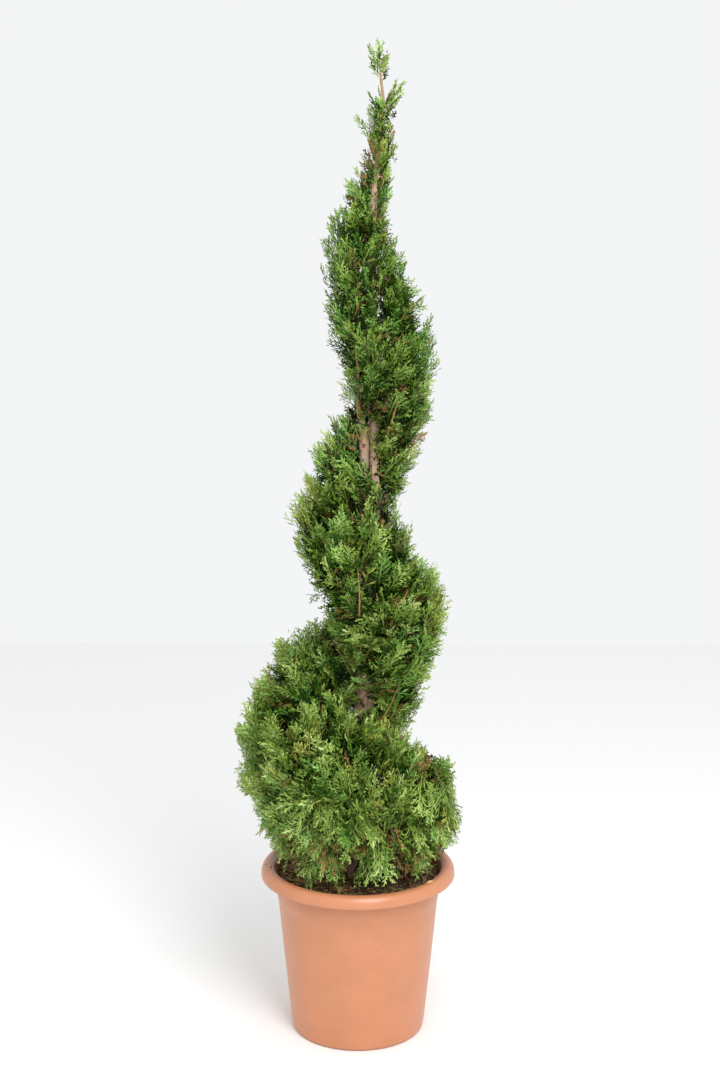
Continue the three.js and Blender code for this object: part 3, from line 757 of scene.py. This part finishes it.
def fan_layout(name, density, depth):
    """Where a mass's fans grow: tips near its clipped face, feet inside it, leaning out and up.

    On the skirt, under the parting, they hang down. depth is how far inside the face the tips end, from and
    to. Most fans show their flat side, and some their edge. Like the other layouts, it gives each fan's foot,
    direction, width, length, bend, glow from 0 in the shade to 1, chance of being dry, and hue.
    """
    places, normal, core = clipped_faces(name, density)
    inner = depth[0] > 0
    keep = (places[:, 2] > LOWEST_FANS) | (rng.random(len(places)) < 0.12)
    room, _ = out_of_trunk(places)
    keep &= (np.abs(normal[:, 2]) < FLAT_CUT) | (room < CUT_REACH) | (not name.endswith("er"))
    places, normal, core = places[keep], normal[keep], core[keep]
    count = len(places)
    height = places[:, 2]
    room, radial = out_of_trunk(places)
    facing = np.where(core[:, None], radial, normal)
    standing = np.clip((STANDING_TOP - height) / 0.10, 0, 1) * (name < "mass_05")
    rising = np.interp(height, [0.7, 1.6, 1.8], [0.95, 1.15, 1.9]) + 0.9 * np.minimum(normal[:, 2], 0)
    parting = PARTING + PARTING_SPREAD * rng.normal(size=count)
    lift = rising + standing * (np.clip((height - parting) / 0.08, -1.5, 0.8) - rising)
    wander = np.stack([noise(places, 0.050, seed) for seed in (31, 32, 33)], -1)
    loose = 0.12 * rng.normal(size=(count, 3)) + DRIFT * wander
    ahead = unit(0.35 * facing + 0.35 * radial + lift[:, None] * [0, 0, 1.0] + loose)
    outward = (ahead * facing).sum(-1, keepdims=True)
    ahead = unit(ahead + np.maximum(LEAST_OUTWARD - outward, 0) * facing)
    size = np.interp(height, [0.4, 0.75, 1.2, 1.6, 1.9], FAN_LENGTHS)
    lengths = np.minimum(size * rng.uniform(0.72, 1.12, count), 0.020 + 0.9 * room)
    hollow = np.clip(noise(places, 0.030, 7) * 1.6, 0, 1)
    deep = rng.random(count)
    wisp = (rng.random(count) < 0.14) * rng.uniform(0.004, 0.012, count) * (not inner)
    offset = wisp + 0.003 - depth[0] - (depth[1] - depth[0]) * deep**1.5 - 0.003 * hollow
    below = places + normal * offset[:, None] - ahead * (0.94 * lengths)[:, None]
    feet = np.where(core[:, None], places, below)
    bared = np.zeros(count, bool)
    for share in (0.35, 0.7, 1.0):
        x, y, z = (feet + share * lengths[:, None] * ahead).T
        for low, high, left, right in BARE_WOOD:
            bared |= (z > low) & (z < high) & (x > left) & (x < right) & (y < 0)
    lengths = np.where(bared & (rng.random(count) < 0.9), 0.2 * lengths, lengths)
    edgewise = np.where(rng.random((count, 1)) < EDGE_ON, 1.0, 0.0)
    lengths *= 1 - (0.45 if inner else 0.0) * edgewise[:, 0]
    flat = facing * (1 - edgewise) + edgewise * np.cross([0, 0, 1.0], radial)
    across = unit(np.cross(flat + 0.35 * rng.normal(size=(count, 3)), ahead))
    glow = np.interp(height, [0.4, 1.20, 1.35, 1.60, 1.75], OUTER_GLOW)
    # Painted shade: core fans get darker greens, and so do fans whose tips end deeper in the mass or in a
    # hollow. The effect is stronger low down and weaker near the top.
    glow += 0.03 * noise(places, 0.02, 9) + 0.09 * rng.normal(size=count) - 0.5 * core
    glow += SHADING * (offset - wisp) * np.interp(height, [0.40, 0.50, 1.2, 1.7], [1.3, 1.0, 1.0, 0.3])
    dead_patch = (noise(places, 0.024, 55) > 0.42) * inner
    skirt = (height < SKIRT_TOP) * (noise(places, 0.040, 61) > 0.05)
    dry = 0.002 + 0.05 * np.clip(-normal[:, 2], 0, 1) + 0.15 * core + 0.25 * dead_patch
    dry += (0.35 if inner else 0.12) * skirt
    dry[wisp > 0] = 0
    return feet, ahead, across, lengths, rng.normal(*FAN_BEND, count), glow, dry, hue_of(places)


def on_trunk(height, turn, share):
    """Places at that share of the trunk's radius, and the directions out of it: (cos a, sin a, 0)."""
    radial = np.column_stack([np.cos(turn), np.sin(turn), 0 * turn])
    centre = np.column_stack([trunk_centre(height), height])
    return centre + radial * (share * trunk_radius(height))[:, None], radial


def trunk_shoot_layout():
    """Short sprays on the trunk where the groove bares its foot: mostly at its sides, many of them dry."""
    count = TRUNK_SPRAYS
    height = rng.uniform(0.57, 0.80, count)
    turn = rng.uniform(-np.pi, 0, count)
    feet, radial = on_trunk(height, turn, 0.8)
    ahead = unit(0.8 * radial + [0, 0, 0.5] + 0.35 * rng.normal(size=(count, 3)))
    across = unit(np.cross(ahead, rng.normal(size=(count, 3))))
    lengths = rng.uniform(0.025, 0.055, count) * (0.45 + 0.55 * np.abs(np.cos(turn)))
    glow = 0.35 + 0.25 * rng.normal(size=count)
    return feet, ahead, across, lengths, rng.normal(*FAN_BEND, count), glow, 0.15 + 0 * glow, hue_of(feet)


def leading_shoot_layout():
    """Sprays along the thin top of the trunk, where no mass hides it: all round, leaning up and out.

    Two are long and loose on its left, and five short dead ones are at its front.
    """
    count = LEADING_SPRAYS
    height = np.linspace(LEADING_FROM, LEADING_TO, count) + rng.uniform(-0.004, 0.004, count)
    behind = (height > BARE_WOOD[-1][0] - 0.03) & (height < BARE_WOOD[-1][1] - 0.005)
    turn = np.where(behind, rng.uniform(0, np.pi, count), rng.uniform(0, 2 * np.pi, count))
    out = np.full((count, 1), 0.40)
    lengths = np.interp(height, [LEADING_FROM, LEADING_TO], [0.060, 0.034]) * rng.uniform(0.8, 1.2, count)
    dry = np.full(count, 0.03)
    loose, dead = np.array([-1, -4]), np.array([-10, -14, -18, -22, -26])
    height[loose], turn[loose] = [1.783, 1.726], np.pi
    out[loose], lengths[loose] = [[0.68], [0.55]], [0.040, 0.062]
    height[dead], turn[dead] = DEAD_SHOOTS, [-1.9, -1.5, -2.3, -1.8, -2.1]
    lengths[dead], dry[dead] = 0.034, 0.95
    feet, radial = on_trunk(height, turn, 1.0)
    feet[dead] += 0.012 * radial[dead]
    feet[loose] += 0.006 * radial[loose]
    ahead = unit(out * radial + [0, 0, 1.0] + 0.12 * rng.normal(size=(count, 3)))
    across = 0.6 * unit(np.cross(ahead, rng.normal(size=(count, 3))))
    glow = 0.55 + 0.12 * rng.normal(size=count)
    glow[loose], dry[loose] = 0.38, 0
    return feet, ahead, across, lengths, rng.normal(*FAN_BEND, count), glow, dry, hue_of(feet)


def missed_shoot_layout():
    """Shoots that the shears missed: small bunches of fans that stand out past the clipped faces."""
    rows = np.repeat(np.array(MISSED_SHOOTS), MISSED_FANS, axis=0)
    count = len(rows)
    ahead = unit(rows[:, 3:6] + 0.22 * rng.normal(size=(count, 3)))
    across = unit(np.cross(ahead, [0.0, 1.0, 0.0] + 0.5 * rng.normal(size=(count, 3))))
    feet = rows[:, :3] + rng.normal(0, 0.007, (count, 3))
    glow = rows[:, 7] + 0.08 * rng.normal(size=count)
    lengths = rows[:, 6] * rng.uniform(0.8, 1.1, count)
    return feet, ahead, across, lengths, rng.normal(*FAN_BEND, count), glow, 0.02 + 0 * glow, hue_of(feet)


def dealt(glow, dry, hue):
    """A colour for each: a green from its hue's ladder by its glow, or rust or orange where it has dried."""
    shade = LADDERS[hue, np.digitize(glow, GLOW_STEPS)]
    roll = rng.random(len(glow))
    return np.where(roll < dry, np.where(rng.random(len(glow)) < 0.7, DEAD, ORANGE), shade)


def fan_mesh(layouts, shapes, count, thick):
    """The points and colours of a layer of fans: their feathered shoots, and their stalks as long kites.

    A shoot is a little off its fan's glow, and brighter towards the fan's tip: painted light, and partly
    paler new growth. The stalks are a step darker, as painted shade.
    """
    feet, ahead, across, lengths, bends, glow, dry, hue = (np.concatenate(column) for column in zip(*layouts))
    fan, share, start, aim, flat, reach = fans(feet, ahead, across, lengths, bends, count)
    points, owner = shoots_in_place(shapes, start, aim, flat, reach, thick)
    # Painted light and shade: shoots towards a fan's tip get brighter greens, those at its foot darker.
    shoot_glow = glow[fan] + TIP_GAIN * (share - 0.6) + SHOOT_CHANGE * rng.normal(size=len(fan))
    whole = np.where(rng.random(len(feet)) < dry, 1.0, 0.01 + 0.5 * dry)
    dried = (rng.random(len(fan)) < whole[fan]).astype(float)
    blade_glow = shoot_glow[owner] + BLADE_CHANGE * rng.normal(size=len(owner))
    shade = dealt(blade_glow, dried[owner], hue[fan][owner])
    side = unit(across) * thick * 0.45
    square = np.cross(ahead, unit(across))
    middle = feet + 0.5 * lengths[:, None] * ahead + (0.25 * bends * lengths)[:, None] * square
    far = feet + 0.9 * lengths[:, None] * ahead + (0.81 * bends * lengths)[:, None] * square
    stalks = np.stack([feet, middle - side, far, middle + side], 1).reshape(-1, 3)
    # Painted shade: each stalk gets a green a step darker than its fan's.
    woody = np.where(rng.random(len(feet)) < WOODY_STALKS, DEAD, dealt(glow - 0.1, dry, hue))
    return np.concatenate([points, stalks]), np.concatenate([shade, woody])


feet_of = {}
for seed, group in MASS_GROUPS.items():
    rng = np.random.default_rng(seed)
    masses = [name for name in group if not name.endswith("tuft")]
    outer = [
        fan_layout(name, OUTER_FANS, OUTER_DEPTH) if name in masses else tuft_layout(name) for name in group
    ]
    inner = [fan_layout(name, INNER_FANS, INNER_DEPTH) for name in masses]
    for name, made in zip(group, outer):
        feet_of[name] = made[:2]
    if "tip_tuft" in group:
        outer.append(leading_shoot_layout())
    if "mass_05" in group:
        outer += [trunk_shoot_layout(), missed_shoot_layout()]
    layers = [
        fan_mesh(outer, FULL_SHOOTS, OUTER_SHOOTS, BRANCHLET),
        fan_mesh(inner, PLAIN_SHOOTS, INNER_SHOOTS, BRANCHLET * INNER_WIDTH),
    ]
    points, shades = (np.concatenate(column) for column in zip(*layers))
    faces = np.arange(len(points)).reshape(-1, 4)
    name = "sprays_of_" + group[0] + ("_to_tip" if len(group) > 2 else "_and_" + group[1][5:])
    new_piece(name, held_in(points), faces, leaf_materials, group, shades=shades, smooth=False)


# ---- The boughs, branches and twigs ----
# Each mass hangs on one bough from the trunk, which forks inside it into branches, and these into the
# twigs that carry the sprays. Old wood is grey brown, young shoots are orange brown.

BRANCH_SPRAYS = 40
TWIG_SPRAYS = 4
TWIG_RADII = (0.0009, 0.0006)
TWIG_COLOURS = {"young_shoot_orange_brown": "#946E46", "old_twig_grey_brown": "#6A5644"}
# Bare shoots that stand clear of the foliage beside the second leader, and in the front of the lower
# masses: the line of each, and its two radii, all in millimetres.
SEEN_SHOOTS = [
    ([[5, -6, 1216], [2, -18, 1240], [1, -30, 1262]], 6.0, 3.4),
    ([[1, -30, 1262], [1, -42, 1280], [0.5, -66, 1312], [-5, -88, 1362]], 3.4, 1.0),
    ([[6, -14, 1176], [1, -27, 1187], [-7, -18, 1210]], 1.8, 0.9),
    ([[36, -9, 1141], [53, -36, 1188], [68, -56, 1238], [77, -71, 1277]], 2.6, 0.9),
    ([[3, -118, 866], [3, -138, 884], [3, -140, 915], [0, -138, 963]], 1.8, 0.8),
    ([[70, -100, 872], [74, -122, 888], [85, -120, 900], [93, -117, 914]], 1.6, 0.8),
    ([[-10, -10, 742], [-25, -18, 754], [-45, -8, 782]], 2.2, 0.9),
    ([[28, -34, 634], [44, -66, 650], [64, -52, 678], [79, -70, 724]], 1.4, 0.8),
    ([[40, -40, 628], [60, -52, 646], [74, -50, 668]], 1.2, 0.7),
]


def bough_line(name):
    """A bough's start in the trunk, its end and its direction, from its CAD node: its far and near rings."""
    points = node_points(name)
    order = np.argsort(np.linalg.norm(points[:, :2] - trunk_centre(points[:, 2]), axis=-1))
    end, near = points[order[-7:]].mean(0), points[order[:7]].mean(0)
    height = near[2] - 0.004
    return np.array([*trunk_centre(height), height]), end, unit(end - near)


def nearest(points, centres):
    """For each point, the number of the centre nearest to it."""
    return np.argmin(((points[:, None] - centres[None]) ** 2).sum(-1), axis=1)


def spread_out(points, count):
    """count of the points, each as far as can be from those chosen before it."""
    chosen = [0]
    distance = np.linalg.norm(points - points[0], axis=-1)
    for _ in range(count - 1):
        chosen.append(int(distance.argmax()))
        distance = np.minimum(distance, np.linalg.norm(points - points[chosen[-1]], axis=-1))
    return points[chosen]


def means(points, labels, count):
    """The mean of the points with each label."""
    total = np.stack([np.bincount(labels, points[:, k], count) for k in range(3)], -1)
    return total / np.maximum(np.bincount(labels, minlength=count), 1)[:, None]


def bent(starts, ways, ends, count):
    """Curved limbs: start·(1 - t)² + knee·2t(1 - t) + end·t², with the knee on the way each sets out."""
    reach = np.linalg.norm(ends - starts, axis=-1, keepdims=True)
    knees = starts + ways * 0.45 * reach
    t = np.linspace(0, 1, count)[:, None]
    return starts[:, None] * (1 - t) ** 2 + knees[:, None] * 2 * t * (1 - t) + ends[:, None] * t**2


def tubes(lines, first, last, sides):
    """Round limbs along lines, tapering from one radius to the other, the last ring drawn in to a point."""
    radii = np.linspace(first, last, lines.shape[1])
    radii[-1] *= 0.3
    rings = carried(lines, np.broadcast_to(radii[:, None], (*lines.shape[:2], 1)), sides)[:, :, :-1]
    count, steps = lines.shape[:2]
    i = np.arange(sides)
    ring = np.stack([i, (i + 1) % sides, (i + 1) % sides + sides, i + sides], -1)
    step = (np.arange(steps - 1) * sides)[:, None, None]
    whole = (np.arange(count) * steps * sides)[:, None, None, None]
    return rings.reshape(-1, 3), (whole + step + ring).reshape(-1, 4)


def bough_surface(start, end, thick):
    """A bough: rings along its curve out of the trunk, tapering, with the bark's relief."""
    line = smooth_line([start, start + (end - start) * [0.55, 0.55, 0.40], end], 26)
    radii = np.linspace(thick, 0.62 * thick, 26)
    radii[-1] *= 0.6
    rings, _, relief = barked(line, radii, 28)
    rings = line[:, None] + (rings - line[:, None]) * (1 + 0.08 * relief)[..., None]
    return closed(rings, line, [0, -1]).reshape(-1, 3), grid_faces(26, 29)


boughs, branches, twigs = [], [], []
for name, (feet, ways) in feet_of.items():
    if name.endswith("tuft"):
        low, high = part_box(name)
        start = np.array([[*trunk_centre(low.z - 0.01), low.z - 0.01]])
        end = np.array([[(low.x + high.x) / 2, (low.y + high.y) / 2, (low.z + high.z) / 2]])
        twigs.append((bent(start, unit(end - start), end, 6), 0.0015, 0.0008, 5))
        continue
    start, end, ahead = bough_line("bough_" + name[5:7])
    if not name.endswith("upper"):
        boughs.append(bough_surface(start, end, 0.42 * trunk_radius(start[2]) + 0.001))
    forks = spread_out(feet, max(2, round(len(feet) / BRANCH_SPRAYS)))
    centres = means(feet, nearest(feet, forks), len(forks))
    forks = end + 0.60 * (centres - end)
    stout = min(0.0030, 0.20 * trunk_radius(end[2]))
    branches.append(tubes(bent(end[None], ahead[None], forks, 8), stout, 0.5 * stout, 6))
    tips = feet[rng.choice(len(feet), max(3, round(len(feet) / TWIG_SPRAYS)), replace=False)]
    owner = nearest(feet, tips)
    tips = means(feet, owner, len(tips))
    parent = nearest(tips, forks)
    tips = tips + 0.25 * (forks[parent] - tips)
    out = unit(forks[parent] - end)
    branches.append(tubes(bent(forks[parent], out, tips, 5), 0.5 * stout, 0.3 * stout, 4))
    out = unit(tips[owner] - forks[parent[owner]])
    twigs.append((bent(tips[owner], out, feet + 0.004 * ways, 3), *TWIG_RADII, 3))
for line, first, last in SEEN_SHOOTS:
    twigs.append((smooth_line(np.array(line) / 1000, 9)[None], first / 1000, last / 1000, 6))

points, faces = joined(boughs)
nodes = [f"bough_{number:02d}" for number in range(1, 17)]
new_piece("bough_bark", points, faces, [bark], nodes, weld=True)
points, faces = joined(branches)
new_piece("branches", held_in(points), faces, [bark])

# Thin bark, satin and even: orange brown on this year's shoots, grey brown on half the thin old twigs.
twig_materials = [
    new_material(name, Base_Color=linear(shade), Roughness=0.75, Specular_IOR_Level=0.3)[0]
    for name, shade in TWIG_COLOURS.items()
]
points, faces = joined([tubes(*twig) for twig in twigs])
shades = np.concatenate([
    np.repeat(rng.random(len(lines)) < 0.45, (lines.shape[1] - 1) * sides) * (first < 0.001)
    for lines, first, _, sides in twigs
])
new_piece("twigs", held_in(points), faces, twig_materials, shades=shades.astype(int))


# ---- The litter on the compost ----
# What falls from the plant and lies where it fell, on the compost and the rim: dry clippings, thin curved
# rootlets and crumbs of bark. Watering has washed most of it to the pot's edge.

CLIPPINGS = 420
ROOTLETS = 110
CRUMBS = 1500
RIM_BITS = 14
LITTER_COLOURS = {
    "dry_clipping_brown": "#9A7248",
    "dry_clipping_straw": "#C8A070",
    "peat_fibre_dark_brown": "#5E4228",
    "withered_clipping_olive": "#8E8A52",
}


def scattered(count, lift):
    """Random places on the compost, that much above it, more of them near its edge and to the front left."""
    radius = (SOIL_RADIUS - 0.004) * rng.uniform(0.10, 1.0, count) ** 0.4
    turn = np.where(rng.random(count) < 0.35, rng.normal(-2.5, 0.5, count), rng.uniform(0, 2 * np.pi, count))
    x, y = round_points(radius, turn).T
    return np.stack([x, y, soil_height(x, y) + lift], -1)


def on_rim(count):
    """Random places on top of the rim's arch."""
    turn = rng.uniform(0, 2 * np.pi, count)
    radius = rng.uniform(0.169, 0.182, count)
    middle, half = (RIM_RADIUS + MOUTH_RADIUS - WALL) / 2, (RIM_RADIUS - MOUTH_RADIUS + WALL) / 2
    arch = RIM_CROWN * np.sqrt(1 - ((radius - middle) / half) ** 2)
    return np.column_stack([round_points(radius, turn), POT_HEIGHT - RIM_CROWN + arch + 0.0008])


def kept_inside(points):
    """Points over the compost drawn in radially to stay clear of the pot's wall."""
    share = np.minimum(1, (SOIL_RADIUS - 0.001) / np.hypot(points[:, 0], points[:, 1]))
    return points * np.stack([share, share, 1 + 0 * share], -1)


# Dry plant fibre: matt, in four plain browns that lie mixed.
litter = [
    new_material(name, Base_Color=linear(shade), Roughness=0.9, Specular_IOR_Level=0.2)[0]
    for name, shade in LITTER_COLOURS.items()
]

feet = scattered(CLIPPINGS, 0.002)
turn = rng.uniform(0, 2 * np.pi, CLIPPINGS)
ahead = unit(np.column_stack([round_points(1, turn), rng.uniform(-0.05, 0.35, CLIPPINGS)]))
across = unit(np.cross([0, 0, 1.0] + 0.25 * rng.normal(size=(CLIPPINGS, 3)), ahead))
lengths = rng.uniform(0.014, 0.050, CLIPPINGS)
points, owner = shoots_in_place(PLAIN_SHOOTS, feet, ahead, across, lengths, 0.0023)
faces = np.arange(len(points)).reshape(-1, 4)
shades = rng.integers(0, 4, CLIPPINGS)[owner]
new_piece("clippings", kept_inside(points), faces, litter, shades=shades, smooth=False)

starts = scattered(ROOTLETS, -0.001)
turn = rng.uniform(0, 2 * np.pi, ROOTLETS)
ways = np.column_stack([round_points(1, turn), rng.uniform(0.2, 0.9, ROOTLETS)])
reach = rng.uniform(0.012, 0.045, (ROOTLETS, 1))
ends = starts + reach * np.column_stack([round_points(1, turn + 0.9), 0 * turn])
points, faces = tubes(bent(starts, ways, ends, 9), 0.0007, 0.0005, 4)
shades = np.repeat(rng.integers(0, 3, ROOTLETS), 32)
new_piece("rootlets", kept_inside(points), faces, litter, shades=shades)

centres = np.concatenate([scattered(CRUMBS, 0.0005), on_rim(RIM_BITS)])
count = len(centres)
corners = np.array([[1, 0, 0], [0, 1, 0], [-1, 0, 0], [0, -1, 0], [0, 0, 1], [0, 0, -1]], float)
size = rng.gamma(2.0, 0.0010, (count, 1, 1)) * rng.uniform(0.5, 1.3, (count, 1, 3)) * [1.4, 1.0, 0.55]
turn = rng.uniform(0, 2 * np.pi, count)
c, s, zero = np.cos(turn), np.sin(turn), 0 * turn
spin = np.stack([c, -s, zero, s, c, zero, zero, zero, 1 + zero], -1).reshape(-1, 3, 3)
lumps = corners * size * rng.uniform(0.8, 1.2, (count, 6, 1))
points = centres[:, None] + np.einsum("nij,npj->npi", spin, lumps)
sides = np.array([[0, 1, 4], [1, 2, 4], [2, 3, 4], [3, 0, 4], [1, 0, 5], [2, 1, 5], [3, 2, 5], [0, 3, 5]])
faces = (6 * np.arange(count)[:, None, None] + sides).reshape(-1, 3)
shades = np.repeat(rng.choice([0, 1, 2, 2, 2], count), 8)
new_piece("crumbs", points.reshape(-1, 3), faces, litter, shades=shades, smooth=False)


# ---- The floor, the light and the camera ----
# A plain pale studio floor, a wide soft light overhead and to the front, and a bright room all round.

CAMERA_PLACE = (0.004, -3.519, 1.702)
CAMERA_DIP = 11.51

mesh = bpy.data.meshes.new("studio_floor")
mesh.from_pydata([(-3, -4, 0), (3, -4, 0), (3, 3, 0), (-3, 3, 0)], [], [(0, 1, 2, 3)])
floor = bpy.data.objects.new("studio_floor", mesh)
bpy.context.scene.collection.objects.link(floor)
mesh.materials.append(new_material("matt_white_paper", Base_Color=linear("#F0F0EF"), Roughness=0.9)[0])

world = bpy.data.worlds.new("studio")
world.use_nodes = True
world.node_tree.nodes["Background"].inputs["Color"].default_value = linear("#F6F7F8")
world.node_tree.nodes["Background"].inputs["Strength"].default_value = 0.98
bpy.context.scene.world = world


def area_light(name, place, target, size, power):
    """A square soft light at a place, facing its target."""
    data = bpy.data.lights.new(name, "AREA")
    data.size = size
    data.energy = power
    lamp = bpy.data.objects.new(name, data)
    lamp.location = place
    x, y, z = np.array(target, float) - place
    lamp.rotation_euler = (np.arctan2(np.hypot(x, y), -z), 0, np.arctan2(y, x) - np.pi / 2)
    bpy.context.scene.collection.objects.link(lamp)


area_light("overhead_softbox", (0.6, -1.9, 3.1), (0, 0, 0.9), size=1.3, power=51)
area_light("front_softbox", (0.9, -2.8, 2.5), (0, 0, 0.3), size=1.2, power=38)

camera_data = bpy.data.cameras.new("studio_camera")
camera_data.lens = 63
camera_data.sensor_width = 36
camera = bpy.data.objects.new("studio_camera", camera_data)
camera.location = CAMERA_PLACE
camera.rotation_euler = (np.radians(90 - CAMERA_DIP), 0, 0)
bpy.context.scene.collection.objects.link(camera)
bpy.context.scene.camera = camera
bpy.context.scene.view_settings.view_transform = "Standard"
